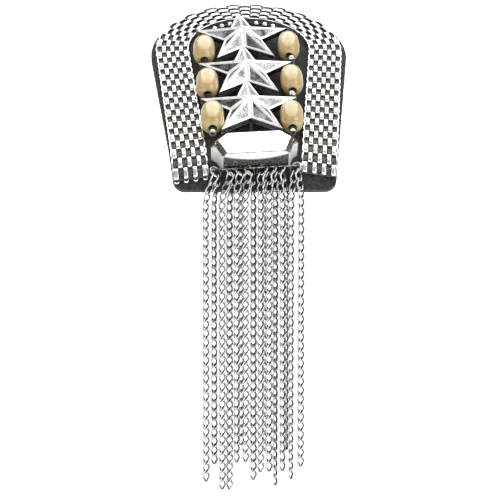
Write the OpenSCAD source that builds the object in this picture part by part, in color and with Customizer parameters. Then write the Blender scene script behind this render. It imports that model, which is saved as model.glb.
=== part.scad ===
// Shoulder epaulette with a fringe of curb chain, shown as it is worn.
// The origin is on the underside of the felt, where the brooch pin holds it to a shoulder.
// X runs across the shoulder, Y runs from the fringe towards the collar, Z is up.

/* [Felt base] */
// Thickness of the felt
felt_t = 2.5; // [1.5:0.1:3]
// Taper of each long side of the felt, in degrees
felt_taper = 6.6; // [5:0.1:7]
// Distance from the brooch pin to the centre of the round upper end
felt_centre = 12.5; // [8:0.5:18]
// Distance from the brooch pin to the line where the felt starts to roll over
roll_start = 55; // [53:0.5:60]
// Radius of the roll-over on the underside of the felt
roll_r = 40; // [36:1:60]
// Angle through which the lower end rolls over
roll_angle = 31.5; // [28:0.5:36]
// Radius of the two lower corners of the felt
felt_corner_r = 4; // [2:0.5:8]
// Slope at which the pad lies on the shoulder, in degrees
pad_slope = 32; // [20:1:40]

/* [Mesh band] */
// Width of the flat silver mesh chain
mesh_w = 13.2; // [10:0.1:14.5]
// Thickness of the mesh chain
mesh_t = 2.4; // [1.5:0.1:3]
// Margin of felt that shows outside the mesh at the sides
mesh_margin = 2.1; // [1.5:0.1:4]
// Room between the mesh and a bead whose middle lies at the tip of a star
field_clear = 0.6; // [0.4:0.1:1.5]
// How far the mesh's arc stands nearer to the upper edge of the felt than to its sides
mesh_rise = 1.2; // [0:0.1:1.8]
// How much narrower the mesh lies at the top of its arc
mesh_top_squeeze = 0.7; // [0:0.1:2]
// Taper of the two legs of the mesh, in degrees
mesh_taper = 5.2; // [4.8:0.1:6]
// Bare felt below the end of the left leg, along the surface
left_leg_bare = 4; // [2:0.5:10]
// Bare felt below the end of the right leg, along the surface
right_leg_bare = 5.5; // [2:0.5:10]

/* [Stars] */
// Radius of a star to its side and lower tips
star_r = 20; // [16:0.5:21]
// Radius of a star to the inner corners between its arms
star_inner_r = 8.2; // [6.5:0.1:9]
// Height of the upright rim of a star
star_rim_h = 2.2; // [2:0.1:3]
// Height of the pyramid above the rim
star_peak_h = 5; // [3:0.1:8]
// Radius of a star to the blunt end of its upper arm
star_top_r = 17.6; // [16:0.1:18.5]
// Half the width of that blunt end
star_blunt_half = 1.3; // [1.1:0.1:1.6]
// Distance from the brooch pin up the slope to the centre of the first star
star_first_y = 16.7; // [15:0.1:18]
// Distance of the first star's centre to the left of the middle of the felt
star_first_left = 2.6; // [1.5:0.1:3]
// How far each star lies to the left in the notch of the star above
star_side_step = 0.5; // [0:0.1:0.6]
// Turn of the three stars in the plane of the pad, in degrees
star_turn = [3.5, 2.5, 2];

/* [Beads] */
// Diameter of an oval bead
bead_d = 9.2; // [7:0.1:9.8]
// Length of an oval bead
bead_l = 16.2; // [12:0.1:17]
// Bore of an oval bead
bead_bore = 1.9; // [1.6:0.1:2.4]
// Distance of the upper beads of each side from the middle of the felt, as shares of a star's radius
bead_out = [0.93, 0.815];
// How far the third left bead rides up on the edge of the mesh
bead_ride = 1; // [0.8:0.1:1.4]
// Diameter of the black cord that the beads are strung on
thread_d = 1.1; // [0.8:0.1:1.3]
// Diameter of the round silver spacer beads
spacer_d = 2.9; // [2.2:0.1:3.2]
// Diameter of the small silver beads above the first star
top_bead_d = 2.4; // [2:0.1:2.8]
// Length of the silver crimps at the lower ends of the cord
crimp_l = 3; // [2:0.1:4]

/* [Bar] */
// Width of the front face of the bar
bar_front_w = 25; // [23:0.5:27]
// Width of the bar between its two pointed ends
bar_w = 33.2; // [30:0.2:33.6]
// Depth of the bar along the pad
bar_depth = 10.6; // [9:0.1:12]
// Height of the top face above the felt
bar_h = 10.3; // [8:0.1:12]
// Wall of the hollow bar
bar_wall = 1; // [0.8:0.1:1.3]
// Bevel round the top edges at the cut corners
bar_bevel = 1.6; // [0.8:0.1:2]
// Turn of the bar in the plane of the pad, in degrees
bar_turn = 4; // [0:0.5:5]
// Distance from the roll-over line to the middle of the bar, along the felt
bar_drop = 9.4; // [8:0.1:11]

/* [Fringe] */
// Diameter of the wire that carries the rings
wire_d = 1; // [0.8:0.1:1.1]
// Length of that wire
wire_l = 33.2; // [32.6:0.2:33.6]
// Radius of a ring, to the middle of its wire
ring_r = 2.3; // [2.2:0.05:2.4]
// Diameter of a ring's wire
ring_wire_d = 0.7; // [0.5:0.05:0.75]
// Turn of each ring out of the plane of the felt, in degrees
ring_turn = 33; // [32:1:35]
// Diameter of the outer form of a chain strand
chain_d = 2.4; // [1.8:0.1:2.5]
// Length of the longest strand
chain_l = 116; // [60:1:140]
// Distance between the front and the back row of strands
row_gap = 2.5; // [2.5:0.1:3]

/* [Brooch pin] */
// Length of the pin's plate
pin_plate_l = 34; // [24:1:50]
// Width of the pin's plate
pin_plate_w = 5; // [3:0.5:8]
// Thickness of the pin's plate
pin_plate_t = 0.8; // [0.5:0.1:1.5]
// Clear space between the plate and the pin, which takes the cloth
pin_space = 6.4; // [6:0.1:8]
// Diameter of the pin
pin_d = 1.2; // [0.8:0.1:1.6]

/* [Hidden] */

$fn = 96;
// Gap between two pieces that lie on each other
gap = 0.1;
// Gap between two pieces that lie beside each other
side_gap = 0.3;
// More than any piece measures, for cuts that run right through
far = 400;

// Colours
black_felt = [0.07, 0.07, 0.08];
silver = [0.78, 0.78, 0.80];
polished = [0.90, 0.90, 0.92];
tan_bead = [0.80, 0.70, 0.48];
black_cord = [0.04, 0.04, 0.04];

// Length of the rolled part along the underside, and the felt's lower end
roll_l = roll_r * roll_angle * PI / 180;
felt_end = roll_start + roll_l;
roll_steps = 12;
// Facets of a round upper end
arc_steps = 48;

// The stars with their beads fill the field inside the mesh, and the felt goes round the mesh
mesh_inner_r = star_r + bead_d / 2 + field_clear;
mesh_outer_r = mesh_inner_r + mesh_w;
felt_r = mesh_outer_r + mesh_margin;
mesh_outer_centre = felt_centre + mesh_rise;
mesh_inner_centre = mesh_outer_centre + mesh_top_squeeze;
mesh_base = felt_t + gap;
mesh_top = mesh_base + mesh_t;

// Beads lie on the felt, and the cords through their bores carry the stars at the same height
bead_z = felt_t + gap + bead_d / 2;
thread_low_z = felt_t + gap + thread_d / 2;
star_seat = bead_z - star_rim_h / 2;

// Stars: equal steps round the centre; the blunt end of an upper arm meets the notch of the star above
star_step = 72;
cord_bore = thread_d + 0.4;
star_bore = thread_d + 0.6;
star_notch_y = star_inner_r * cos(star_step / 2);
star_side = star_inner_r * sin(star_step / 2);
star_top_aim_r = star_top_r
    + star_blunt_half * (star_top_r - star_notch_y) / (star_side - star_blunt_half);
notch_slope = (star_r * cos(star_step / 2) - star_inner_r) / (star_r * sin(star_step / 2));
star_below_notch = star_inner_r + (star_blunt_half + star_side_step) * notch_slope + gap;
function heading(t) = [sin(t), -cos(t)];
function next_place(place, turn, next_turn) = place + star_below_notch * heading(turn)
    + star_top_r * heading(next_turn) - [star_side_step, 0];
star_1_place = [-star_first_left, star_first_y];
star_2_place = next_place(star_1_place, star_turn[0], star_turn[1]);
star_3_place = next_place(star_2_place, star_turn[1], star_turn[2]);
star_places = [star_1_place, star_2_place, star_3_place];

// Beads keep clear of the mesh, whose legs come nearer to each other lower down, or ride up on its edge
side_sign = [-1, 1];
bead_rides_up = [[0, 0, 1], [0, 0, 0]];
function bead_height(i, side) = bead_z + bead_rides_up[side][i] * bead_ride;
function bead_at_mesh(i, side) = sqrt(pow(bead_d / 2, 2) - pow(bead_height(i, side) - mesh_top, 2));
function mesh_inner_half(y) =
    (mesh_inner_r - (mesh_inner_centre - y) * sin(mesh_taper)) / cos(mesh_taper);
function bead_x(i, side) = side_sign[side] * min(bead_out[side] * star_r,
    mesh_inner_half(star_places[i][1] - star_inner_r - bead_l / 3) - bead_at_mesh(i, side) - side_gap);

// Each cord goes through the side arms of the stars, or past an arm that ends short of it
arm_angle = [180 - star_step / 4, star_step / 4];
arm_edge = 1.6;
arm_reach = 2.3;
function arm_tip(i, side) = star_places[i]
    + star_r * [cos(arm_angle[side] + star_turn[i]), sin(arm_angle[side] + star_turn[i])];
function between_beads(i, side) = (bead_x(max(i - 1, 0), side) + bead_x(i, side)) / 2;
function cord_x(i, side) = let (tip = side_sign[side] * arm_tip(i, side)[0])
    side_sign[side] * between_beads(i, side) < tip - arm_edge ? between_beads(i, side)
    : side_sign[side] * (tip + thread_d / 2 + side_gap);
function arm_y(i, side) = let (
    out = min(side_sign[side] * cord_x(i, side), side_sign[side] * arm_tip(i, side)[0]))
    star_places[i][1] + (side_sign[side] * out - star_places[i][0]) * tan(arm_angle[side] + star_turn[i]);

// A bead lies half way between two arms, give or take its own slide, a share of its length;
// the third bead lies below the last arm
bead_slide = [[0, 0.031, -0.111], [0.031, 0.074, -0.093]];
function bead_y(i, side) = bead_slide[side][i] * bead_l + (i < 2
    ? (arm_y(i, side) + arm_y(i + 1, side)) / 2
    : arm_y(i, side) - arm_reach - bead_l / 2);
function bead_place(i, side) = [bead_x(i, side), bead_y(i, side), bead_height(i, side)];
bead_places = [for (side = [0:1]) [for (i = [0:2]) bead_place(i, side)]];

// One cord runs up through the left beads, round the top of the pad and down through the right beads;
// the other runs through the stars, a little way inside each bore, and ends behind the bar
crimp_gap = 0.5;
thread_in = 2;
behind_bar = 1;
crimp_bore = thread_d + 0.3;
crimp_d = crimp_bore + 1;
top_bead_clear = 2.2;
cord_arc_r = mesh_inner_r - top_bead_d / 2 - top_bead_clear;
cord_arc_step = 10;
cord_arc_from = 135;
cord_arc_to = 45;
function arc_point(a) = [cord_arc_r * cos(a), mesh_inner_centre + cord_arc_r * sin(a),
    felt_t + gap + top_bead_d / 2];
function bead_end(i, side, e) = bead_places[side][i] + [0, e * bead_l / 2, 0];
function arm_end(i, side, e) = [cord_x(i, side), arm_y(i, side) + e * arm_reach, bead_z];
function side_run(side) = concat(
    [bead_end(2, side, -1) - [0, crimp_gap + crimp_l + side_gap, 0]],
    [for (i = [2:-1:0]) each [
        bead_end(i, side, -1),
        bead_end(i, side, 1),
        arm_end(i, side, -1),
        arm_end(i, side, 1)]]);
right_run = side_run(1);
cord_route = concat(side_run(0),
    [for (a = [cord_arc_from:-cord_arc_step:cord_arc_to]) arc_point(a)],
    [for (k = [len(right_run) - 1:-1:0]) right_run[k]]);
// Angles round the arc at which the small silver beads sit
top_bead_angles = [130, 120, 110, 80, 70, 60];

// Bar: its frame lies on the felt's upper surface, bar_drop below the roll-over line
bar_angle = bar_drop / roll_r * 180 / PI;
bar_rings_up = 3.3;
bar_point_back = 1.2;
bar_corner_in = 2.1;
bar_corner_back = 0.6;
bar_bevel_in = 0.4;

// Wire and rings, in the bar's frame: across, up the slope, off the felt
wire_in = 0.3;
wire_v = -bar_depth / 2 + wire_in;
wire_h = 1.45;
ring_hang = ring_r - ring_wire_d / 2 - wire_d / 2 - 2 * gap;
// Rings along the wire, as shares of half the bar's width
ring_across = [-0.916, -0.554, -0.349, -0.145, 0.139, 0.337, 0.536, 0.898];
function ring_x(k) = ring_across[k] * bar_w / 2;

// Strands from left to right: ring, place across as a share of half the bar's width,
// share of the longest length, row (0 front, 1 back)
STRAND_RING = 0;
STRAND_ACROSS = 1;
STRAND_SHARE = 2;
STRAND_ROW = 3;
strands = [
    [0, -1.127, 0.985, 0],
    [0, -0.940, 0.935, 1],
    [1, -0.759, 0.995, 0],
    [1, -0.590, 1, 1],
    [2, -0.434, 0.91, 0],
    [2, -0.331, 0.86, 1],
    [3, -0.229, 0.93, 0],
    [3, -0.048, 0.99, 1],
    [4, 0.114, 0.97, 0],
    [4, 0.211, 0.9, 1],
    [5, 0.307, 0.97, 0],
    [5, 0.452, 0.995, 1],
    [6, 0.608, 0.96, 0],
    [6, 0.705, 0.88, 1],
    [7, 0.801, 0.975, 0],
    [7, 1.036, 0.96, 1]];
// The back row hangs clear of the felt's lower edge
lip_y = pad_point(0, -roll_start - roll_l, felt_t)[1];
lip_clear = 0.4;
back_row_y = lip_y - chain_d / 2 - lip_clear;
row_y = [back_row_y - row_gap, back_row_y];
// How far a strand's top leans in towards its ring, the share of the way across,
// and the length of the stretch that leans
strand_in = 0.9;
strand_lean = 0.55;
strand_lean_l = 4;

// A point of the pad, given across, along the underside (negative down the slope) and off the underside
function pad_point(x, s, h) = let (
    a = max(0, -roll_start - s) / roll_r * 180 / PI,
    y = s >= -roll_start ? s : -roll_start - (roll_r + h) * sin(a),
    z = s >= -roll_start ? h : -roll_r + (roll_r + h) * cos(a))
    [x, y * cos(pad_slope) - z * sin(pad_slope), y * sin(pad_slope) + z * cos(pad_slope)];

// A point of the bar's frame
function bar_point(p) = let (
    u = p[0] * cos(bar_turn) - p[1] * sin(bar_turn),
    v = p[0] * sin(bar_turn) + p[1] * cos(bar_turn),
    w = roll_r + felt_t + p[2],
    y = -roll_start + v * cos(bar_angle) - w * sin(bar_angle),
    z = -roll_r + v * sin(bar_angle) + w * cos(bar_angle))
    [u, y * cos(pad_slope) - z * sin(pad_slope), y * sin(pad_slope) + z * cos(pad_slope)];

module on_slope() rotate([pad_slope, 0, 0]) children();

module on_bar_frame() on_slope() translate([0, -roll_start, -roll_r]) rotate([bar_angle, 0, 0])
    translate([0, 0, roll_r + felt_t]) rotate([0, 0, bar_turn]) children();

// Side view of the surface at height h, from the collar side down round the roll-over
function pad_side(h) = concat([[far / 2, h]],
    [for (k = [0:roll_steps]) let (a = roll_angle * k / roll_steps)
        [-roll_start - (roll_r + h) * sin(a), -roll_r + (roll_r + h) * cos(a)]]);

// A layer of the pad under an outline drawn from above, from height low to height high
module layer(low, high) {
    under = pad_side(low);
    intersection() {
        translate([-far / 2, 0, 0]) rotate([90, 0, 90]) linear_extrude(far)
            polygon(concat(pad_side(high), [for (k = [len(under) - 1:-1:0]) under[k]]));
        translate([0, 0, -far / 2]) linear_extrude(far) children();
    }
}

// Round upper end with two straight sides that taper down to a line
module shield(r, taper, centre, end) {
    half = (r - (centre + end) * sin(taper)) / cos(taper);
    polygon(concat(
        [for (k = [0:arc_steps]) let (a = (180 + 2 * taper) * k / arc_steps - taper)
            [r * cos(a), centre + r * sin(a)]],
        [[-half, -end], [half, -end]]));
}

// Where the surface at height h ends, seen from above the pad, when it rolls over by this angle
function foot_at(h, angle) = -roll_start - (roll_r + h) * sin(angle);

module felt_outline() {
    c = felt_corner_r;
    half = (felt_r - (felt_centre + felt_end) * sin(felt_taper)) / cos(felt_taper);
    foot = foot_at(felt_t, roll_angle);
    difference() {
        shield(felt_r, felt_taper, felt_centre, felt_end + far / 20);
        for (s = [-1, 1]) difference() {
            translate([s * (half - c) - (s > 0 ? 0 : far / 4), foot - c]) square([far / 4, 2 * c]);
            translate([s * (half - c), foot + c]) circle(r = c);
        }
    }
}

module felt_base() {
    color(black_felt) on_slope() layer(0, felt_t) felt_outline();
}

// Where a leg of the mesh ends, with this much bare felt below it
function leg_end(bare) = foot_at(mesh_base, roll_angle * (1 - bare / roll_l));

module mesh_outline() {
    bare = [left_leg_bare, right_leg_bare];
    difference() {
        shield(mesh_outer_r, mesh_taper, mesh_outer_centre, felt_end);
        shield(mesh_inner_r, mesh_taper, mesh_inner_centre, felt_end + far / 10);
        for (side = [0:1])
            translate([(side_sign[side] - 1) * far / 4, leg_end(bare[side]) - far / 2])
                square([far / 2, far / 2]);
    }
}

module mesh_band() {
    color(silver) on_slope() layer(mesh_base, mesh_top) mesh_outline();
}

// Five-pointed pyramid on an upright rim, with a longer upper arm that is cut off blunt
module star_body() {
    tips = [star_top_aim_r, star_r, star_r, star_r, star_r];
    ring = [for (k = [0:4]) each [
        [tips[k] * cos(90 + k * star_step), tips[k] * sin(90 + k * star_step)],
        [star_inner_r * cos(90 + (k + 0.5) * star_step), star_inner_r * sin(90 + (k + 0.5) * star_step)]]];
    n = len(ring);
    points = concat(
        [for (p = ring) [p[0], p[1], 0]],
        [for (p = ring) [p[0], p[1], star_rim_h]],
        [[0, 0, star_rim_h + star_peak_h], [0, 0, 0]]);
    faces = concat(
        [for (k = [0:n - 1]) [2 * n + 1, k, (k + 1) % n]],
        [for (k = [0:n - 1]) [k, n + k, n + (k + 1) % n, (k + 1) % n]],
        [for (k = [0:n - 1]) [n + k, 2 * n, n + (k + 1) % n]]);
    intersection() {
        polyhedron(points, faces);
        translate([-far / 2, star_top_r - far, -far / 2]) cube(far);
    }
}

module star(i) {
    color(silver) on_slope() difference() {
        translate([star_places[i][0], star_places[i][1], star_seat]) rotate([0, 0, star_turn[i]])
            difference() {
                star_body();
                translate([0, 0, star_rim_h / 2]) rotate([90, 0, 0])
                    cylinder(d = star_bore, h = far, center = true);
            }
        for (side = [0:1]) translate([cord_x(i, side), arm_y(i, side), bead_z]) rotate([90, 0, 0])
            cylinder(d = cord_bore, h = 3 * arm_reach, center = true);
    }
}

// Oval bead: a rounded barrel turned round its bore
module oval_bead(place) {
    steps = 9;
    power = 0.72;
    profile = [for (k = [0:2 * steps]) let (a = 180 * k / (2 * steps) - 90)
        [bead_bore / 2 + (bead_d - bead_bore) / 2 * pow(abs(cos(a)), power),
        bead_l / 2 * sign(sin(a)) * pow(abs(sin(a)), power)]];
    color(tan_bead) on_slope() translate(place) rotate([-90, 0, 0]) rotate_extrude() polygon(
        concat([[bead_bore / 2, bead_l / 2], [bead_bore / 2, -bead_l / 2]],
        [for (k = [1:2 * steps - 1]) profile[k]]));
}

// Round silver bead with a bore for the cord
module drilled_ball(d) {
    difference() {
        sphere(d = d);
        rotate([90, 0, 0]) cylinder(d = cord_bore, h = 2 * d, center = true);
    }
}

// Silver bead between the lower end of bead i and the side arm of the next star
module spacer(side, i) {
    a = bead_end(i, side, -1);
    b = arm_end(i + 1, side, 1);
    color(silver) on_slope() translate((a + b) / 2)
        rotate([0, 0, atan2(a[1] - b[1], a[0] - b[0]) - 90]) drilled_ball(spacer_d);
}

// Silver tube squeezed on the cord below the last bead
module crimp(side) {
    b = bead_places[side][2];
    color(silver) on_slope() translate([b[0], b[1] - bead_l / 2 - crimp_gap, b[2]]) rotate([90, 0, 0])
        difference() {
            cylinder(d = crimp_d, h = crimp_l);
            translate([0, 0, -gap]) cylinder(d = crimp_bore, h = crimp_l + 2 * gap);
        }
}

module top_beads() {
    for (a = top_bead_angles) {
        middle = (arc_point(a - cord_arc_step / 2) + arc_point(a + cord_arc_step / 2)) / 2;
        color(silver) on_slope() translate([middle[0], middle[1], felt_t + gap + top_bead_d / 2])
            rotate([0, 0, a]) drilled_ball(top_bead_d);
    }
}

// Tube swept along points, with eight sides
module tube(route, d, flat) {
    sides = 8;
    n = len(route);
    function unit(v) = v / norm(v);
    rings = [for (i = [0:n - 1]) let (
        t = unit(route[min(i + 1, n - 1)] - route[max(i - 1, 0)]),
        a = unit(cross(t, flat)),
        b = cross(t, a))
        for (k = [0:sides - 1]) route[i]
            + (a * cos(360 * k / sides) + b * sin(360 * k / sides)) * d / 2];
    faces = concat(
        [[for (k = [0:sides - 1]) sides - 1 - k]],
        [for (i = [0:n - 2], k = [0:sides - 1]) [
            i * sides + k, i * sides + (k + 1) % sides,
            (i + 1) * sides + (k + 1) % sides, (i + 1) * sides + k]],
        [[for (k = [0:sides - 1]) (n - 1) * sides + k]]);
    polyhedron(rings, [for (f = faces) [for (j = [len(f) - 1:-1:0]) f[j]]]);
}

module thread_beads() {
    color(black_cord) on_slope() tube(cord_route, thread_d, [0, 0, 1]);
}

// Cord through the three stars, from the inner edge of the mesh down to the felt behind the bar
module thread_stars() {
    function on_axis(i, along, z) = concat(star_places[i] + along * heading(star_turn[i]), [z]);
    first = on_axis(0, -star_top_r - side_gap, bead_z);
    last = on_axis(2, star_inner_r + side_gap, bead_z);
    mesh_edge = mesh_inner_centre + sqrt(pow(mesh_inner_r, 2) - pow(first[0], 2)) - 2 * side_gap;
    back_of_bar = -roll_start - bar_drop + bar_depth / 2 + behind_bar;
    color(black_cord) on_slope() tube([
        [first[0], mesh_edge, mesh_top - thread_d / 2],
        first,
        on_axis(0, star_inner_r - thread_in, bead_z),
        on_axis(1, thread_in - star_top_r, bead_z),
        on_axis(1, star_inner_r - thread_in, bead_z),
        on_axis(2, thread_in - star_top_r, bead_z),
        last,
        [last[0], (3 * last[1] + back_of_bar) / 4, (bead_z + thread_low_z) / 2],
        [last[0], (last[1] + back_of_bar) / 2, thread_low_z],
        [last[0], back_of_bar, thread_low_z]], thread_d, [1, 0, 0]);
}

// Outline of the bar from above: long front and back edges, cut corners and two blunt points
module bar_outline(inset) {
    front = bar_front_w / 2 - inset / 2;
    point = bar_w / 2 - inset * 1.3;
    edge = bar_depth / 2 - inset;
    right = [
        [front, -edge],
        [point - bar_corner_in, -bar_corner_back],
        [point, bar_point_back],
        [front - bar_bevel_in, edge]];
    polygon(concat(right, [for (k = [3:-1:0]) [-right[k][0], right[k][1]]]));
}

module bar() {
    color(polished) on_bar_frame() difference() {
        translate([0, 0, gap]) linear_extrude(bar_h - gap) bar_outline(0);
        // Hollow underneath
        translate([0, 0, -gap]) linear_extrude(bar_h - bar_wall + gap) bar_outline(bar_wall);
        // Mouth for the rings, under the front face
        translate([0, -bar_depth / 2, -gap]) linear_extrude(bar_rings_up + gap)
            square([bar_front_w - 2 * bar_wall, 4 * bar_wall], center = true);
        // Bevels along the top edges of the cut corners
        for (s = [-1, 1]) {
            bevel([s * bar_front_w / 2, -bar_depth / 2],
                [s * (bar_w / 2 - bar_corner_in), -bar_corner_back], s);
            bevel([s * (bar_w / 2), bar_point_back],
                [s * (bar_front_w / 2 - bar_bevel_in), bar_depth / 2], s);
        }
        // Holes that the hanging wire passes through
        translate([0, wire_v, wire_h]) rotate([0, 90, 0])
            cylinder(d = wire_d + 2 * gap, h = far, center = true);
    }
}

// Slanted cut along the top edge from point a to point b, s is the side of the bar
module bevel(a, b, s) {
    run = b - a;
    translate([(a[0] + b[0]) / 2, (a[1] + b[1]) / 2, bar_h]) rotate([0, 0, atan2(run[1], run[0])])
        rotate([45, 0, 0]) cube([norm(run) * 2, bar_bevel * sqrt(2), bar_bevel * sqrt(2)], center = true);
}

module hanging_wire() {
    color(silver) on_bar_frame() translate([0, wire_v, wire_h]) rotate([0, 90, 0])
        cylinder(d = wire_d, h = wire_l, center = true);
}

// Middle of ring k in the bar's frame
function ring_middle(k) = [ring_x(k), wire_v - ring_hang, wire_h];

// Jump ring through which the wire passes, its outer side turned up
module ring(k) {
    s = sign(ring_x(k));
    color(silver) on_bar_frame() translate(ring_middle(k)) rotate([0, -s * ring_turn, 0])
        rotate_extrude() translate([ring_r, 0]) circle(d = ring_wire_d, $fn = 24);
}

// Outer form of one strand: it starts in front of its ring and hangs straight down
module strand(i) {
    row = strands[i];
    hold = bar_point(ring_middle(row[STRAND_RING]) - [0, ring_r + ring_wire_d / 2, 0]);
    x = row[STRAND_ACROSS] * bar_w / 2;
    y = row_y[row[STRAND_ROW]];
    top = hold[2] - gap;
    low = row[STRAND_SHARE] * chain_l;
    color(silver) tube([
        [x + strand_lean * (hold[0] - x), y + strand_in, top],
        [x, y, top - strand_lean_l],
        [x, y, top - low]], chain_d, [0, 1, 0]);
}

// Plain pin on the underside: a plate, two posts and the pin between them
module brooch_pin() {
    post = pin_d + 1;
    drop = pin_plate_t + pin_space + pin_d;
    color(silver) on_slope() translate([0, 0, -gap]) {
        translate([-pin_plate_l / 2, -pin_plate_w / 2, -pin_plate_t])
            cube([pin_plate_l, pin_plate_w, pin_plate_t]);
        for (s = [-1, 1]) translate([s * (pin_plate_l - post) / 2, 0, -(drop + post / 4) / 2])
            cube([post, post, drop + post / 4], center = true);
        translate([0, 0, -pin_plate_t - pin_space - pin_d / 2]) rotate([0, 90, 0])
            cylinder(d = pin_d, h = pin_plate_l - post, center = true);
    }
}

felt_base();
mesh_band();
star(0);  // star_1
star(1);  // star_2
star(2);  // star_3
oval_bead(bead_places[0][0]);  // bead_left_1
oval_bead(bead_places[0][1]);  // bead_left_2
oval_bead(bead_places[0][2]);  // bead_left_3
oval_bead(bead_places[1][0]);  // bead_right_1
oval_bead(bead_places[1][1]);  // bead_right_2
oval_bead(bead_places[1][2]);  // bead_right_3
spacer(0, 0);  // spacer_left_1
spacer(0, 1);  // spacer_left_2
spacer(1, 0);  // spacer_right_1
spacer(1, 1);  // spacer_right_2
crimp(0);  // crimp_left
crimp(1);  // crimp_right
top_beads();
thread_beads();
thread_stars();
bar();
hanging_wire();
ring(0);  // ring_1
ring(1);  // ring_2
ring(2);  // ring_3
ring(3);  // ring_4
ring(4);  // ring_5
ring(5);  // ring_6
ring(6);  // ring_7
ring(7);  // ring_8
strand(0);  // chain_01
strand(1);  // chain_02
strand(2);  // chain_03
strand(3);  // chain_04
strand(4);  // chain_05
strand(5);  // chain_06
strand(6);  // chain_07
strand(7);  // chain_08
strand(8);  // chain_09
strand(9);  // chain_10
strand(10);  // chain_11
strand(11);  // chain_12
strand(12);  // chain_13
strand(13);  // chain_14
strand(14);  // chain_15
strand(15);  // chain_16
brooch_pin();
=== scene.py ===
import math
import random

import bmesh
import bpy
from mathutils import Matrix, Vector, noise


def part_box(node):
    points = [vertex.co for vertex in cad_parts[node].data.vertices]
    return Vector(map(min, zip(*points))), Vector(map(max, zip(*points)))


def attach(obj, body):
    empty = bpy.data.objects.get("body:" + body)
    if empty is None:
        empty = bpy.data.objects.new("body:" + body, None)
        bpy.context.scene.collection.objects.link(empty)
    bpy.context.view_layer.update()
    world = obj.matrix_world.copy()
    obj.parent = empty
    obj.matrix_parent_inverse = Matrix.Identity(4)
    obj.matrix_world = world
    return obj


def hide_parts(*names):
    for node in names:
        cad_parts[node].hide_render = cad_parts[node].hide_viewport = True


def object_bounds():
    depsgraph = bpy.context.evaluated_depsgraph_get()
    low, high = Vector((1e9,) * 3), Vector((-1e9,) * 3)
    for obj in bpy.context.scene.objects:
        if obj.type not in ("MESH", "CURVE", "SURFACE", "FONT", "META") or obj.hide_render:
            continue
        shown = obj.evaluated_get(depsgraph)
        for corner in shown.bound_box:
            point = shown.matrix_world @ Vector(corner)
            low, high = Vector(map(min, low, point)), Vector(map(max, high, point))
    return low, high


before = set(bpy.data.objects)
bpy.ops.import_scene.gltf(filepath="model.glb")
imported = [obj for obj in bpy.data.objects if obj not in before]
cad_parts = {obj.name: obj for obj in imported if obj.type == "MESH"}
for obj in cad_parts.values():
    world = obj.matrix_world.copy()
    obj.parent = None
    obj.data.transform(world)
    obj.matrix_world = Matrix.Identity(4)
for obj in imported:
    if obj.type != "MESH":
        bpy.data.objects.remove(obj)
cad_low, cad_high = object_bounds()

# The view
# The epaulette is seen from the fringe's side, a little from above, through a long lens. It hangs
# above a pale floor, inside a low round white backdrop, in the light of four soft boxes.
MM = 0.001
LENS = 120
CAMERA_DISTANCE = 625 * MM
CAMERA_HEIGHT_ANGLE = math.radians(5)
CAMERA_SIDE_ANGLE = math.radians(1.9)
AIM = Vector((-2, -66, -66.5)) * MM
FLOOR_SIZE = 6
FLOOR_DROP = 34 * MM
BACKDROP_R = 2.6
BACKDROP_H = 0.55
BACKDROP_SIDES = 128
STAGE_GREY = 0.86
FLOOR_GLOW = 0.85
BACKDROP_GLOW = 1.0
ROOM_GREY = 0.4
# The soft boxes: name, place and width in metres, and how bright each looks in a polished surface
LIGHTS = (
    ("top", (0, 0.2, 0.65), 0.85, 2.4),
    ("key", (0.55, -0.45, 0.5), 0.5, 3.0),
    ("side", (0.55, -0.62, -0.05), 0.4, 2.0),
    ("left", (-0.6, -0.5, 0.45), 0.45, 1.2))


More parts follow.
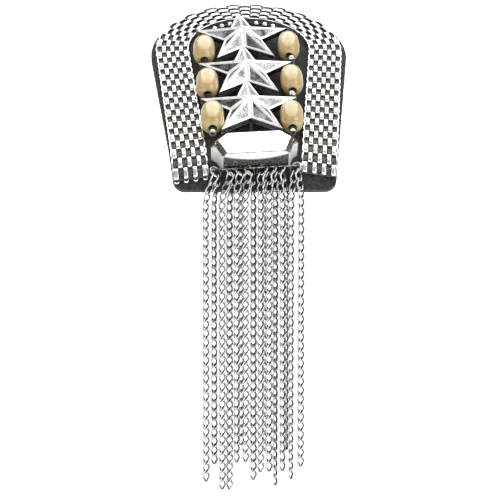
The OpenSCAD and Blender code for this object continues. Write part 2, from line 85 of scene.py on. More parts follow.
class Finish:
    """A material, with short ways to add the nodes that these finishes are made of."""

    def __init__(self, name, **shader):
        self.material = bpy.data.materials.new(name)
        self.material.use_nodes = True
        self.nodes = self.material.node_tree.nodes
        self.links = self.material.node_tree.links
        self.shader = self.nodes["Principled BSDF"]
        for socket, value in shader.items():
            self.shader.inputs[socket.replace("_", " ")].default_value = value

    def node(self, kind, sockets=(), **settings):
        made = self.nodes.new("ShaderNode" + kind)
        for name, value in settings.items():
            setattr(made, name, value)
        for name, value in dict(sockets).items():
            if isinstance(value, bpy.types.NodeSocket):
                self.links.new(value, made.inputs[name])
            else:
                made.inputs[name].default_value = value
        return made

    def place(self):
        """Where a point is on the object, in metres."""
        return self.node("TexCoord").outputs["Object"]

    def attribute(self, name):
        return self.node("Attribute", attribute_name=name).outputs["Fac"]

    def grain(self, scale, detail=3, stretch=None, roughness=0.5):
        """Noise between 0 and 1, with about this many grains to a metre."""
        where = self.place()
        if stretch:
            where = self.node("Mapping", {"Vector": where, "Scale": stretch}).outputs[0]
        sockets = {"Vector": where, "Scale": scale, "Detail": detail, "Roughness": roughness}
        return self.node("TexNoise", sockets).outputs["Fac"]

    def between(self, value, low, high, to_low=0.0, to_high=1.0):
        """A value mapped from one range to another, and held within it."""
        sockets = {"Value": value, "From Min": low, "From Max": high, "To Min": to_low, "To Max": to_high}
        return self.node("MapRange", sockets).outputs[0]

    def combine(self, a, b, operation="ADD"):
        made = self.node("Math", operation=operation)
        for socket, value in zip(made.inputs, (a, b)):
            if isinstance(value, bpy.types.NodeSocket):
                self.links.new(value, socket)
            else:
                socket.default_value = value
        return made.outputs[0]

    def blend(self, share, first, second):
        """A colour between two, each a colour or the output of a node."""
        made = self.node("Mix", data_type="RGBA")
        self.links.new(share, made.inputs["Factor"])
        # A Mix node has sockets for numbers and vectors too. Those for colours are inputs 6 and 7
        for socket, value in zip(made.inputs[6:8], (first, second)):
            if isinstance(value, bpy.types.NodeSocket):
                self.links.new(value, socket)
            else:
                socket.default_value = value
        return made.outputs[2]

    def feed(self, socket, value):
        self.links.new(value, self.shader.inputs[socket])

    def bump(self, height, distance, strength=1.0):
        sockets = {"Height": height, "Distance": distance, "Strength": strength}
        self.feed("Normal", self.node("Bump", sockets).outputs[0])

    def wear(self, greys, roughnesses, scale, stretch=None):
        """Fine scratches and stains that vary a metal between two greys and two roughnesses."""
        scratches = self.between(self.grain(scale, 4, stretch, 0.75), 0.35, 0.65)
        self.feed("Base Color", self.blend(scratches, grey(greys[0]), grey(greys[1])))
        self.feed("Roughness", self.between(scratches, 0, 1, *roughnesses))


def grey(value):
    return (value, value, value, 1)


camera_data = bpy.data.cameras.new("camera")
camera_data.lens = LENS
camera = bpy.data.objects.new("camera", camera_data)
bpy.context.collection.objects.link(camera)
looking = Vector((math.sin(CAMERA_SIDE_ANGLE) * math.cos(CAMERA_HEIGHT_ANGLE),
    math.cos(CAMERA_SIDE_ANGLE) * math.cos(CAMERA_HEIGHT_ANGLE), -math.sin(CAMERA_HEIGHT_ANGLE)))
camera.location = AIM - looking * CAMERA_DISTANCE
camera.rotation_euler = looking.to_track_quat("-Z", "Y").to_euler()
bpy.context.scene.camera = camera

bpy.ops.mesh.primitive_plane_add(size=FLOOR_SIZE, location=(0, 0, cad_low.z - FLOOR_DROP))
floor = bpy.context.object
floor.name = "floor"
bpy.ops.mesh.primitive_cylinder_add(vertices=BACKDROP_SIDES, radius=BACKDROP_R, depth=BACKDROP_H,
    end_fill_type="NOTHING", location=(0, 0, cad_low.z - FLOOR_DROP + BACKDROP_H / 2))
backdrop = bpy.context.object
backdrop.name = "backdrop"
for piece, glow in ((floor, FLOOR_GLOW), (backdrop, BACKDROP_GLOW)):
    stage_finish = Finish(piece.name, Base_Color=grey(STAGE_GREY), Roughness=0.9,
        Emission_Color=grey(1), Emission_Strength=glow)
    piece.data.materials.append(stage_finish.material)

bpy.context.scene.view_settings.view_transform = "Standard"
world = bpy.data.worlds.new("dim room")
bpy.context.scene.world = world
world.use_nodes = True
world.node_tree.nodes["Background"].inputs["Color"].default_value = grey(ROOM_GREY)
world.node_tree.nodes["Background"].inputs["Strength"].default_value = 1.0

for name, place, size, brightness in LIGHTS:
    lamp = bpy.data.lights.new(name, "AREA")
    lamp.size = size
    lamp.energy = brightness * math.pi * size ** 2
    holder = bpy.data.objects.new(name, lamp)
    bpy.context.collection.objects.link(holder)
    holder.location = place
    holder.rotation_euler = (AIM - Vector(place)).to_track_quat("-Z", "Y").to_euler()

# Felt base
# One piece of stiff black wool felt, cut to the shape of a shield, that lies down the slope of a
# shoulder and rolls over its edge. Its rims are cut clean, with short fibres standing out.
PAD_SLOPE = math.radians(32)
FELT_T = 2.5 * MM
FELT_TAPER = math.radians(6.6)
FELT_CENTRE = 12.5 * MM
ROLL_START = 55 * MM
ROLL_R = 40 * MM
ROLL_ANGLE = math.radians(31.5)
FELT_CORNER_R = 4 * MM
MESH_W = 13.2 * MM
MESH_MARGIN = 2.1 * MM
MESH_INNER_R = 25.2 * MM
FELT_R = MESH_INNER_R + MESH_W + MESH_MARGIN
FELT_END = ROLL_START + ROLL_R * ROLL_ANGLE
FELT_SIDES = 96
FELT_ROW = 2 * MM
FELT_COLUMN = 4 * MM
FELT_RIM = 0.45 * MM
FELT_WAVE = 0.05 * MM
FELT_WAVES_PER_M = 180
# The fibres that stand out, the shortest and the longest of them given as shares of HAIR_L
HAIRS = 5200
HAIR_L = 0.9 * MM
HAIR_SHARES = (0.4, 1.1)
HAIR_D = 0.03 * MM
HAIR_SIDES = 3
HAIR_LEAN = 0.6


def on_pad(across, along, height):
    """The place of a point given across the pad, up along its underside, and off its underside."""
    past = max(0.0, -ROLL_START - along) / ROLL_R
    y = max(along, -ROLL_START) - (ROLL_R + height) * math.sin(past)
    z = height + (ROLL_R + height) * (math.cos(past) - 1)
    return Vector((across, y * math.cos(PAD_SLOPE) - z * math.sin(PAD_SLOPE),
        y * math.sin(PAD_SLOPE) + z * math.cos(PAD_SLOPE)))


def lay(piece, place):
    """Moves each vertex of a piece that was made flat to its place on what carries it."""
    for vertex in piece.data.vertices:
        vertex.co = place(*vertex.co)
    piece.data.update()


def only(piece):
    """Makes this piece the one that is selected and active."""
    bpy.ops.object.select_all(action="DESELECT")
    piece.select_set(True)
    bpy.context.view_layer.objects.active = piece


def settle(piece, name):
    """Puts a piece's place, turn and size into its mesh, and names it."""
    only(piece)
    bpy.ops.object.transform_apply(location=True, rotation=True, scale=True)
    piece.name = piece.data.name = name
    return piece


def shape_with(piece, kind, **settings):
    """Adds a modifier and applies it."""
    only(piece)
    modifier = piece.modifiers.new(kind, kind)
    for name, value in settings.items():
        setattr(modifier, name, value)
    bpy.ops.object.modifier_apply(modifier=modifier.name)


def repeat(piece, count, step):
    shape_with(piece, "ARRAY", count=count, use_relative_offset=False, use_constant_offset=True,
        constant_offset_displace=step)


def edit(piece, mode="VERT"):
    only(piece)
    bpy.ops.object.mode_set(mode="EDIT")
    bpy.ops.mesh.select_mode(type=mode)
    bpy.ops.mesh.select_all(action="DESELECT")


def done():
    bpy.ops.object.mode_set(mode="OBJECT")


def pick(piece, wanted, kind="verts"):
    """In edit mode, selects the vertices, edges or faces that pass the test, and nothing else."""
    bpy.ops.mesh.select_all(action="DESELECT")
    mesh = bmesh.from_edit_mesh(piece.data)
    for item in getattr(mesh, kind):
        if wanted(item):
            item.select_set(True)
    mesh.select_flush_mode()
    bmesh.update_edit_mesh(piece.data)


def cut(point, normal, **how):
    """In edit mode, cuts everything along the plane through a point."""
    bpy.ops.mesh.select_all(action="SELECT")
    bpy.ops.mesh.bisect(plane_co=point, plane_no=normal, **how)


def outward(piece):
    """Merges doubles and turns all faces outwards."""
    edit(piece)
    bpy.ops.mesh.select_all(action="SELECT")
    bpy.ops.mesh.remove_doubles(threshold=1e-6)
    bpy.ops.mesh.normals_make_consistent(inside=False)
    done()


def smooth(piece, angle=40):
    only(piece)
    bpy.ops.object.shade_smooth_by_angle(angle=math.radians(angle))


def dress(piece, slot, finish, *others, stands_for=()):
    """Gives a piece its materials, by its faces' marks, hangs it on the root body, and hides the parts of
    the frame that it stands for.
    """
    marks = [face.material_index for face in piece.data.polygons]
    piece.data.materials.clear()
    for made in (finish, *others):
        piece.data.materials.append(made.material)
    piece.data.polygons.foreach_set("material_index", marks)
    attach(piece, "root")
    if stands_for:
        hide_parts(*stands_for)


bpy.ops.object.select_all(action="DESELECT")
bpy.ops.mesh.primitive_circle_add(vertices=FELT_SIDES, radius=FELT_R, fill_type="NGON",
    location=(0, FELT_CENTRE, 0))
felt = settle(bpy.context.object, "felt_sheet")
edit(felt)
shoulder = FELT_CENTRE - FELT_R * math.sin(FELT_TAPER)
cut((0, shoulder, 0), (0, -1, 0), clear_outer=True)
side_run = FELT_END + shoulder
foot_half = FELT_R * math.cos(FELT_TAPER) - side_run * math.tan(FELT_TAPER)
bpy.ops.mesh.extrude_region_move(TRANSFORM_OT_translate={"value": (0, -side_run, 0)})
bpy.ops.transform.resize(value=(foot_half / (FELT_R * math.cos(FELT_TAPER)), 1, 1),
    center_override=(0, -FELT_END, 0))
bpy.ops.mesh.select_all(action="SELECT")
bpy.ops.mesh.dissolve_faces()
pick(felt, lambda v: v.co.y < -FELT_END + FELT_CORNER_R)
bpy.ops.mesh.bevel(offset=FELT_CORNER_R, segments=6, affect="VERTICES")
felt_rows = int((FELT_END + FELT_CENTRE + FELT_R) / FELT_ROW)
for k in range(1, felt_rows):
    cut((0, -FELT_END + k * FELT_ROW, 0), (0, 1, 0))
felt_columns = int(2 * FELT_R / FELT_COLUMN)
for k in range(1, felt_columns):
    cut((-FELT_R + k * FELT_COLUMN, 0, 0), (1, 0, 0))
done()
lay(felt, on_pad)
shape_with(felt, "SOLIDIFY", thickness=FELT_T, offset=1)
shape_with(felt, "BEVEL", width=FELT_RIM, segments=3, limit_method="ANGLE", angle_limit=math.radians(60))
shape_with(felt, "SUBSURF", levels=1, render_levels=1, subdivision_type="SIMPLE")
for vertex in felt.data.vertices:
    vertex.co += vertex.normal * FELT_WAVE * noise.noise(vertex.co * FELT_WAVES_PER_M)
smooth(felt)

felt_finish = Finish("black felt", Roughness=0.95, Sheen_Weight=0.12, Sheen_Roughness=0.5,
    Specular_IOR_Level=0.12)
clumps = felt_finish.grain(700, 4, roughness=0.65)
fuzz = felt_finish.grain(4200, 3, roughness=0.7)
felt_mottle = felt_finish.between(felt_finish.combine(clumps, fuzz), 0.75, 1.3)
felt_finish.feed("Base Color", felt_finish.blend(felt_mottle, grey(0.007), grey(0.07)))
felt_finish.bump(felt_finish.combine(clumps, fuzz), 0.5 * MM, 0.7)
dress(felt, "felt", felt_finish, stands_for=["felt_base"])

random.seed(11)
bpy.ops.object.select_all(action="DESELECT")
bpy.ops.mesh.primitive_cylinder_add(vertices=HAIR_SIDES, radius=HAIR_D / 2, depth=HAIR_L,
    end_fill_type="NOTHING", location=(0, 0, HAIR_L / 2))
fibres = settle(bpy.context.object, "felt_fibres")
repeat(fibres, HAIRS, (0, 0, HAIR_L))
skin = list(felt.data.polygons)
hair_points = 2 * HAIR_SIDES
for k in range(HAIRS):
    face = random.choice(skin)
    lean = Vector([random.gauss(0, HAIR_LEAN) for axis in range(3)])
    turned = (face.normal + lean).to_track_quat("Z", "Y")
    stretch = random.uniform(*HAIR_SHARES)
    for vertex in fibres.data.vertices[hair_points * k:hair_points * (k + 1)]:
        in_place = Vector((vertex.co.x, vertex.co.y, (vertex.co.z - k * HAIR_L) * stretch))
        vertex.co = face.center + turned @ in_place
fibre_finish = Finish("felt fibre", Roughness=0.9, Specular_IOR_Level=0.2)
fibre_share = fibre_finish.between(fibre_finish.grain(1200), 0.35, 0.65)
fibre_finish.feed("Base Color", fibre_finish.blend(fibre_share, grey(0.02), grey(0.09)))
dress(fibres, "felt", fibre_finish)

# Mesh chain
# A flat silver mesh chain laid on the felt as a horseshoe and sewn down along its edges. It is made
# of short domed strips in seven columns, each hooked round two cross pins, with every other place
# empty, so that lower strips, painted dark as shade, show between them. Thin bowed links close both edges.
MESH_GAP = 0.1 * MM
MESH_BASE = FELT_T + MESH_GAP
MESH_RISE = 1.2 * MM
MESH_TOP_SQUEEZE = 0.7 * MM
MESH_OUTER_CENTRE = FELT_CENTRE + MESH_RISE
MESH_INNER_CENTRE = MESH_OUTER_CENTRE + MESH_TOP_SQUEEZE
MESH_TAPER = math.radians(5.2)
# Bare felt below the end of the left and the right leg, along the surface
MESH_BARE = {-1: 4 * MM, 1: 5.5 * MM}
MESH_COLUMNS = 7
MESH_COLUMN = 1.78 * MM
MESH_ROW = 4.46 * MM
STRIP_W = 1.66 * MM
STRIP_OVER = 0.2 * MM
STRIP_T = 0.5 * MM
STRIP_TOP = MESH_BASE + 2.3 * MM
STRIP_RIM = 0.35 * MM
STRIP_DOME = 0.35 * MM
# Where the hooked end of a strip starts and where it has its bends, as shares of half its length
HOOK_FROM = 0.72
STRIP_BENDS = (0.95, 0.86, HOOK_FROM, 0.4)
STRIP_HOOK = 0.9 * MM
HOOK_BACK = 0.08
LOWER_STRIP_DROP = 1.1 * MM
PIN_D = 0.7 * MM
PIN_OUT = 0.6 * MM
# The side links' length and bends, as shares of a row
SIDE_LINK_L = 1.06
SIDE_LINK_BENDS = (-0.4, -0.25, 0, 0.25, 0.4)
SIDE_LINK_T = 0.42 * MM
SIDE_LINK_H = 1.5 * MM
SIDE_LINK_BOW = 0.42 * MM
SIDE_LINK_IN = 0.05 * MM
SIDE_LINK_DROP = 0.5 * MM
SIDE_LINK_SAG = 0.3 * MM
END_LOOPS = 4
END_LOOP_STEP = 3.6 * MM
END_LOOP_OUT = 0.5 * MM
END_LOOP_UP = 0.8 * MM
END_LOOP_TILT = math.radians(20)
END_LOOP_R = 0.75 * MM
END_LOOP_WIRE = 0.25 * MM
# The lower strips and the cross pins are painted dark with lighter specks, as the shade in the cells between
# the upper strips
CELL_SHADE_DARK = (0.03, 0.027, 0.023, 1)
CELL_SHADE_LIGHT = (0.24, 0.215, 0.185, 1)

mesh_middle_r = MESH_INNER_R + MESH_W / 2
arc_half = mesh_middle_r * (math.pi / 2 + MESH_TAPER)


def leg_end(side):
    """How far along the middle line a leg of the mesh ends, from the top of the arc."""
    end = -FELT_END + MESH_BARE[side]
    centre = (MESH_OUTER_CENTRE + MESH_INNER_CENTRE) / 2
    return arc_half + (centre - mesh_middle_r * math.sin(MESH_TAPER) - end) / math.cos(MESH_TAPER)


def on_band(along, across, height):
    """The place of a point given along the mesh from the top of its arc, outwards across, and up."""
    share = across / MESH_W + 0.5
    radius = MESH_INNER_R + MESH_W * share
    centre = MESH_INNER_CENTRE + (MESH_OUTER_CENTRE - MESH_INNER_CENTRE) * share
    side = 1 if along > 0 else -1
    on_arc = min(abs(along), arc_half) / mesh_middle_r
    down = max(0.0, abs(along) - arc_half)
    x = radius * math.sin(on_arc) - down * math.sin(MESH_TAPER)
    y = centre + radius * math.cos(on_arc) - down * math.cos(MESH_TAPER)
    return on_pad(side * x, y, height)


def mark(piece, finishes, index=0):
    """Gives a piece some finishes, and all its faces the one with this index."""
    for made in finishes:
        piece.data.materials.append(made.material)
    for face in piece.data.polygons:
        face.material_index = index


def join(parts, name):
    only(parts[0])
    for part in parts:
        part.select_set(True)
    bpy.ops.object.join()
    return settle(parts[0], name)


def copied(piece):
    made = piece.copy()
    made.data = piece.data.copy()
    bpy.context.collection.objects.link(made)
    return made


mesh_start = -leg_end(-1)
mesh_rows = round((leg_end(1) - mesh_start) / MESH_ROW)
mesh_row = (leg_end(1) - mesh_start) / mesh_rows
half_strip = mesh_row / 2 + STRIP_OVER


def new_strip(rim):
    """One strip, made flat with its length along X, then domed and hooked down at its ends."""
    bpy.ops.object.select_all(action="DESELECT")
    bpy.ops.mesh.primitive_cube_add(size=1, scale=(2 * half_strip, STRIP_W, STRIP_T))
    strip = settle(bpy.context.object, "strip")
    edit(strip, "EDGE")
    if rim:
        pick(strip, lambda e: all(v.co.z > 0 for v in e.verts)
            and abs(e.verts[0].co.x - e.verts[1].co.x) > STRIP_W, "edges")
        bpy.ops.mesh.bevel(offset=STRIP_RIM, segments=2)
    for share in STRIP_BENDS:
        for side in (-1, 1):
            cut((side * share * half_strip, 0, 0), (1, 0, 0))
    done()
    for vertex in strip.data.vertices:
        share = abs(vertex.co.x) / half_strip
        vertex.co.z -= STRIP_T / 2 + STRIP_DOME * share ** 2
        past = max(0.0, share - HOOK_FROM) / (1 - HOOK_FROM)
        vertex.co.z -= STRIP_HOOK * past ** 2
        vertex.co.x *= 1 - HOOK_BACK * past ** 2
    return strip


silver_finish = Finish("mesh silver", Metallic=1.0, Specular_Tint=grey(0.5))
silver_finish.wear((0.84, 0.95), (0.28, 0.18), 1800)
# Painted shade: the lower strips and the pins are made dark, with lighter specks, as the cells between the
# upper strips look in shade
cell_shade_finish = Finish("mesh cell shade", Metallic=1.0, Roughness=0.42, Specular_Tint=grey(0.2))
cell_shade_specks = cell_shade_finish.between(cell_shade_finish.grain(2600, 2, roughness=0.7), 0.42, 0.68)
cell_shade_finish.feed("Base Color", cell_shade_finish.blend(cell_shade_specks, CELL_SHADE_DARK, CELL_SHADE_LIGHT))
mesh_finishes = (silver_finish, cell_shade_finish)

mesh_parts = []
for bright in (True, False):
    strip = new_strip(bright)
    mark(strip, mesh_finishes, 0 if bright else 1)
    for column in range(MESH_COLUMNS):
        first = column % 2 if bright else 1 - column % 2
        row_of_strips = copied(strip)
        row_of_strips.location = (mesh_start + (first + 0.5) * mesh_row,
            (column - (MESH_COLUMNS - 1) / 2) * MESH_COLUMN, STRIP_TOP - (0 if bright else LOWER_STRIP_DROP))
        settle(row_of_strips, "column")
        repeat(row_of_strips, (mesh_rows - first + 1) // 2, (2 * mesh_row, 0, 0))
        mesh_parts.append(row_of_strips)
    bpy.data.objects.remove(strip)

pin_height = STRIP_TOP - STRIP_T - STRIP_DOME - PIN_D / 2 - MESH_GAP
bpy.ops.mesh.primitive_cylinder_add(vertices=8, radius=PIN_D / 2,
    depth=MESH_COLUMNS * MESH_COLUMN + PIN_OUT, location=(mesh_start, 0, pin_height),
    rotation=(math.pi / 2, 0, 0))
cross_pin = settle(bpy.context.object, "cross_pin")
mark(cross_pin, mesh_finishes, 1)
repeat(cross_pin, mesh_rows + 1, (mesh_row, 0, 0))
mesh_parts.append(cross_pin)

link_run = mesh_row * SIDE_LINK_L
for side in (-1, 1):
    bpy.ops.mesh.primitive_cube_add(size=1, scale=(link_run, SIDE_LINK_T, SIDE_LINK_H))
    side_link = settle(bpy.context.object, "side_link")
    edit(side_link)
    for share in SIDE_LINK_BENDS:
        cut((share * link_run, 0, 0), (1, 0, 0))
    done()
    for vertex in side_link.data.vertices:
        share = vertex.co.x / (link_run / 2)
        vertex.co.y = side * (vertex.co.y + MESH_COLUMNS * MESH_COLUMN / 2 - SIDE_LINK_IN
            + SIDE_LINK_BOW * (1 - share ** 2))
        vertex.co.z += STRIP_TOP - SIDE_LINK_DROP - SIDE_LINK_H / 2 - SIDE_LINK_SAG * share ** 2
    mark(side_link, mesh_finishes)
    side_link.location.x = mesh_start + mesh_row / 2
    settle(side_link, "side_link")
    repeat(side_link, mesh_rows, (mesh_row, 0, 0))
    mesh_parts.append(side_link)
for part in mesh_parts:
    outward(part)

for k in range(END_LOOPS):
    across = (k - (END_LOOPS - 1) / 2) * END_LOOP_STEP
    bpy.ops.mesh.primitive_torus_add(major_radius=END_LOOP_R, minor_radius=END_LOOP_WIRE,
        major_segments=14, minor_segments=6, rotation=(0, END_LOOP_TILT, 0),
        location=(mesh_start - END_LOOP_OUT, across, MESH_BASE + END_LOOP_UP))
    end_loop = settle(bpy.context.object, "end_loop")
    mark(end_loop, mesh_finishes)
    mesh_parts.append(end_loop)
mesh_band = join(mesh_parts, "mesh_links")
lay(mesh_band, on_band)
outward(mesh_band)
smooth(mesh_band, 50)
dress(mesh_band, "mesh", silver_finish, cell_shade_finish, stands_for=["mesh_band"])

# Stars
# Three cast silver stars, strung one below the other, each one's blunt upper arm in the notch of the
# star above. Polished ridges and rims stand round sunken panels with a dark, grainy cast skin.
STAR_SEAT = 6.1 * MM
STAR_R = 20 * MM
STAR_INNER_R = 8.2 * MM
STAR_TOP_R = 17.6 * MM
STAR_TOP_AIM_R = 21.3 * MM
STAR_RIM_H = 2.2 * MM
STAR_PEAK_H = 5 * MM
PANEL_FRAME = 0.72 * MM
PANEL_DEPTH = 0.26 * MM
STAR_EDGE = 0.18 * MM
WALL_FRAME = 0.42 * MM
# The stars' upright walls, but for those below the lower arms, are painted with a reflection of the beads:
# speckled dark brown to tan
WALL_REFLECTION_DARK = (0.06, 0.045, 0.03, 1)
WALL_REFLECTION_TAN = (0.35, 0.3, 0.23, 1)
# Painted light: how much lighter each of the ten panels is made, by how it faces the lamps, from the upper
# arm's left one round by the left
PANEL_PAINTED_LIGHT = (0.16, 0, -0.06, 0, 0.1, 0, 0, 0.09, 0, 0.16)
# How far a face's normal rises, at most where the face is upright, and at least where it lies flat
UPRIGHT = 0.1
FLAT = 0.99
# The stars' places and turns: name, across and up the slope in millimetres, turn in degrees
STARS = (("star_1", -2.6, 16.7, 3.5), ("star_2", -1.75, -10.39, 2.5), ("star_3", -1.22, -37.49, 2.0))
# The cords that the stars and the beads are strung on, and the room round them in the stars
CORDS = ("thread_beads", "thread_stars")
CORD_ROOM = 0.24 * MM


def is_lower_wall(normal, centre):
    """Whether a face with this normal and centre is one of the upright walls below the lower arms."""
    return abs(normal.z) < UPRIGHT and normal.y < 0 and centre.y < -STAR_INNER_R


bpy.ops.mesh.primitive_circle_add(vertices=10, radius=STAR_R, fill_type="NGON")
star = settle(bpy.context.object, "star")
for k, vertex in enumerate(star.data.vertices):
    angle = math.pi / 2 + k * math.pi / 5
    radius = STAR_INNER_R if k % 2 else (STAR_TOP_AIM_R if k == 0 else STAR_R)
    vertex.co = (radius * math.cos(angle), radius * math.sin(angle), 0)
edit(star, "FACE")
bpy.ops.mesh.select_all(action="SELECT")
bpy.ops.mesh.extrude_region_move(TRANSFORM_OT_translate={"value": (0, 0, STAR_RIM_H)})
bpy.ops.mesh.poke()
done()
for vertex in star.data.vertices:
    if vertex.co.xy.length < STAR_INNER_R / 2 and vertex.co.z > STAR_RIM_H / 2:
        vertex.co = (0, 0, STAR_RIM_H + STAR_PEAK_H)
outward(star)
edit(star, "FACE")
cut((0, STAR_TOP_R, 0), (0, 1, 0), clear_outer=True, use_fill=True)
pick(star, lambda f: UPRIGHT < f.normal.z < FLAT and f.calc_center_median().z > STAR_RIM_H, "faces")
bpy.ops.mesh.inset(thickness=PANEL_FRAME, depth=0, use_individual=True)
bpy.ops.mesh.inset(thickness=PANEL_DEPTH, depth=-PANEL_DEPTH, use_individual=True)
done()
# The "wear" attribute holds painted light: each panel is lighter or darker by how it faces the lamps
panel_light = star.data.attributes.new("wear", "FLOAT", "FACE")
for face, wear in zip(star.data.polygons, panel_light.data):
    face.material_index = 1 if face.select else (2 if abs(face.normal.z) < UPRIGHT else 0)
    round_star = (math.atan2(face.center.y, face.center.x) - math.pi / 2) % (2 * math.pi)
    wear.value = PANEL_PAINTED_LIGHT[int(round_star / (2 * math.pi) * len(PANEL_PAINTED_LIGHT))]
edit(star, "FACE")
pick(star, lambda f: is_lower_wall(f.normal, f.calc_center_median()), "faces")
bpy.ops.mesh.inset(thickness=WALL_FRAME, depth=0, use_individual=True)
done()
for face in star.data.polygons:
    if is_lower_wall(face.normal, face.center):
        face.material_index = 1 if face.select else 0
shape_with(star, "BEVEL", width=STAR_EDGE, segments=2, limit_method="ANGLE", angle_limit=math.radians(25))

star_silver = Finish("star silver", Metallic=1.0, Roughness=0.34)
silver_wear = star_silver.between(star_silver.grain(900, 4, roughness=0.7), 0.35, 0.5)
star_silver.feed("Base Color", star_silver.blend(silver_wear, grey(0.75), grey(0.97)))
star_panel = Finish("star panel", Metallic=1.0)
panel_grain = star_panel.grain(2100, 2, roughness=0.75)
panel_clouds = star_panel.grain(160, 2)
# The panels' tone takes in the painted light of the "wear" attribute, besides their grain and clouds
panel_tone = star_panel.combine(star_panel.combine(panel_grain, panel_clouds), star_panel.attribute("wear"))
panel_share = star_panel.between(panel_tone, 0.86, 1.24)
star_panel.feed("Base Color", star_panel.blend(panel_share, grey(0.035), grey(0.6)))
star_panel.feed("Roughness", star_panel.between(panel_share, 0, 1, 0.55, 0.3))
star_panel.bump(panel_grain, 0.12 * MM, 0.7)
# Painted reflection: these upright walls are speckled dark brown to tan, as the beads seen in them
star_wall = Finish("star wall", Metallic=1.0, Roughness=0.35)
wall_grain = star_wall.between(star_wall.grain(1300, 3, roughness=0.7), 0.45, 0.7)
star_wall.feed("Base Color", star_wall.blend(wall_grain, WALL_REFLECTION_DARK, WALL_REFLECTION_TAN))
sleeves = []
for name in CORDS:
    sleeve = copied(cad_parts[name])
    outward(sleeve)
    for vertex in sleeve.data.vertices:
        vertex.co += vertex.normal * CORD_ROOM
    sleeves.append(sleeve)
for name, across, along, turn in STARS:
    cast = copied(star)
    cast.matrix_world = (Matrix.Rotation(PAD_SLOPE, 4, "X") @ Matrix.Translation(
        (across * MM, along * MM, STAR_SEAT)) @ Matrix.Rotation(math.radians(turn), 4, "Z"))
    settle(cast, name + "_cast")
    for sleeve in sleeves:
        shape_with(cast, "BOOLEAN", object=sleeve, operation="DIFFERENCE", solver="EXACT")
    smooth(cast, 40)
    shape_with(cast, "WEIGHTED_NORMAL", keep_sharp=True)
    dress(cast, "star_metal", star_silver, star_panel, star_wall, stands_for=[name])
bpy.data.objects.remove(star)
for sleeve in sleeves:
    bpy.data.objects.remove(sleeve)

# Oval beads
# Six glossy resin beads, cream at the upper end and golden olive below, with faint milky clouds.
# Each is drilled along its length and strung on the black cord.
BEAD_D = 9.2 * MM
BEAD_L = 16.2 * MM
BEAD_BORE = 1.6 * MM
# How full the bead's shoulders are: 1 for an ellipse, less for a fuller barrel
BEAD_POWER = 0.72
# Where the ball that a bead is made of is opened round its poles, and how far its bore is straight
BEAD_OPEN_R = 0.08
BORE_STRAIGHT = 0.8
RESIN_OLIVE = (0.4, 0.27, 0.075, 1)
RESIN_CREAM = (0.56, 0.46, 0.27, 1)
RESIN_MILKY = (0.7, 0.62, 0.43, 1)
BEAD_NAMES = [f"bead_{side}_{k}" for side in ("left", "right") for k in (1, 2, 3)]


def middle(node):
    low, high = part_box(node)
    return (low + high) / 2


bpy.ops.object.select_all(action="DESELECT")
bpy.ops.mesh.primitive_uv_sphere_add(segments=40, ring_count=24, radius=1, rotation=(math.pi / 2, 0, 0))
bead = settle(bpy.context.object, "bead")
edit(bead)
pick(bead, lambda v: v.co.xz.length < BEAD_OPEN_R)
bpy.ops.mesh.delete(type="VERT")
done()
for vertex in bead.data.vertices:
    out = math.hypot(vertex.co.x, vertex.co.z)
    angle = math.atan2(vertex.co.y, out)
    radius = BEAD_BORE / 2 + (BEAD_D - BEAD_BORE) / 2 * math.cos(angle) ** BEAD_POWER
    vertex.co = (vertex.co.x / out * radius, math.copysign(
        BEAD_L / 2 * abs(math.sin(angle)) ** BEAD_POWER, angle), vertex.co.z / out * radius)
edit(bead, "EDGE")
pick(bead, lambda e: e.is_boundary, "edges")
bpy.ops.mesh.bridge_edge_loops(number_cuts=2)
bpy.ops.mesh.select_all(action="SELECT")
bpy.ops.mesh.normals_make_consistent(inside=False)
done()
for vertex in bead.data.vertices:
    radius = math.hypot(vertex.co.x, vertex.co.z)
    if abs(vertex.co.y) < BEAD_L / 2 * BORE_STRAIGHT and radius < BEAD_BORE:
        vertex.co.x *= BEAD_BORE / 2 / radius
        vertex.co.z *= BEAD_BORE / 2 / radius
along_bead = bead.data.attributes.new("along", "FLOAT", "POINT")
along_bead.data.foreach_set("value", [v.co.y / BEAD_L + 0.5 for v in bead.data.vertices])

resin = Finish("bead resin", Roughness=0.08, IOR=1.5, Coat_Weight=0.5, Coat_Roughness=0.03,
    Subsurface_Weight=0.25, Subsurface_Radius=(0.003, 0.002, 0.001), Subsurface_Scale=0.6)
resin_clouds = resin.between(resin.grain(260, 3), 0.35, 0.7)
resin_base = resin.blend(resin.attribute("along"), RESIN_OLIVE, RESIN_CREAM)
resin_share = resin.combine(resin_clouds, 0.25, "MULTIPLY")
resin.feed("Base Color", resin.blend(resin_share, resin_base, RESIN_MILKY))
for name in BEAD_NAMES:
    oval = copied(bead)
    oval.matrix_world = Matrix.Translation(middle(name)) @ Matrix.Rotation(PAD_SLOPE, 4, "X")
    settle(oval, name + "_resin")
    smooth(oval, 50)
    dress(oval, "bead", resin, stands_for=[name])
bpy.data.objects.remove(bead)

# Cords and small silver beads
# One waxed black cord carries the oval beads and a row of small silver beads at the top, another
# the stars. Round beads, silver on the right and black on the left, keep the oval ones apart, and a
# squeezed tube, black above and silver below, ends the first cord on each side.
BRIGHT_BEADS = ("spacer_right_1", "spacer_right_2", "top_beads")
BLACK_BEADS = ("spacer_left_1", "spacer_left_2")
CRIMPS = ("crimp_left", "crimp_right")
# How far below a crimp's middle its black part ends, and over what length
CRIMP_BLACK_BELOW = 0.4 * MM
CRIMP_BLACK_FADE = 0.2 * MM

cord_finish = Finish("waxed cord", Base_Color=grey(0.012), Roughness=0.45)
cord_finish.bump(cord_finish.grain(5000, 2, stretch=(1, 0.2, 1)), 0.1 * MM, 0.6)
for name in CORDS:
    cord = copied(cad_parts[name])
    outward(cord)
    shape_with(cord, "SUBSURF", levels=1, render_levels=1)
    settle(cord, name + "_cord")
    smooth(cord, 80)
    dress(cord, "thread", cord_finish, stands_for=[name])


def redress(node, finish):
    """Gives a part of the frame a finer material."""
    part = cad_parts[node]
    for slot in part.material_slots:
        slot.material = finish.material


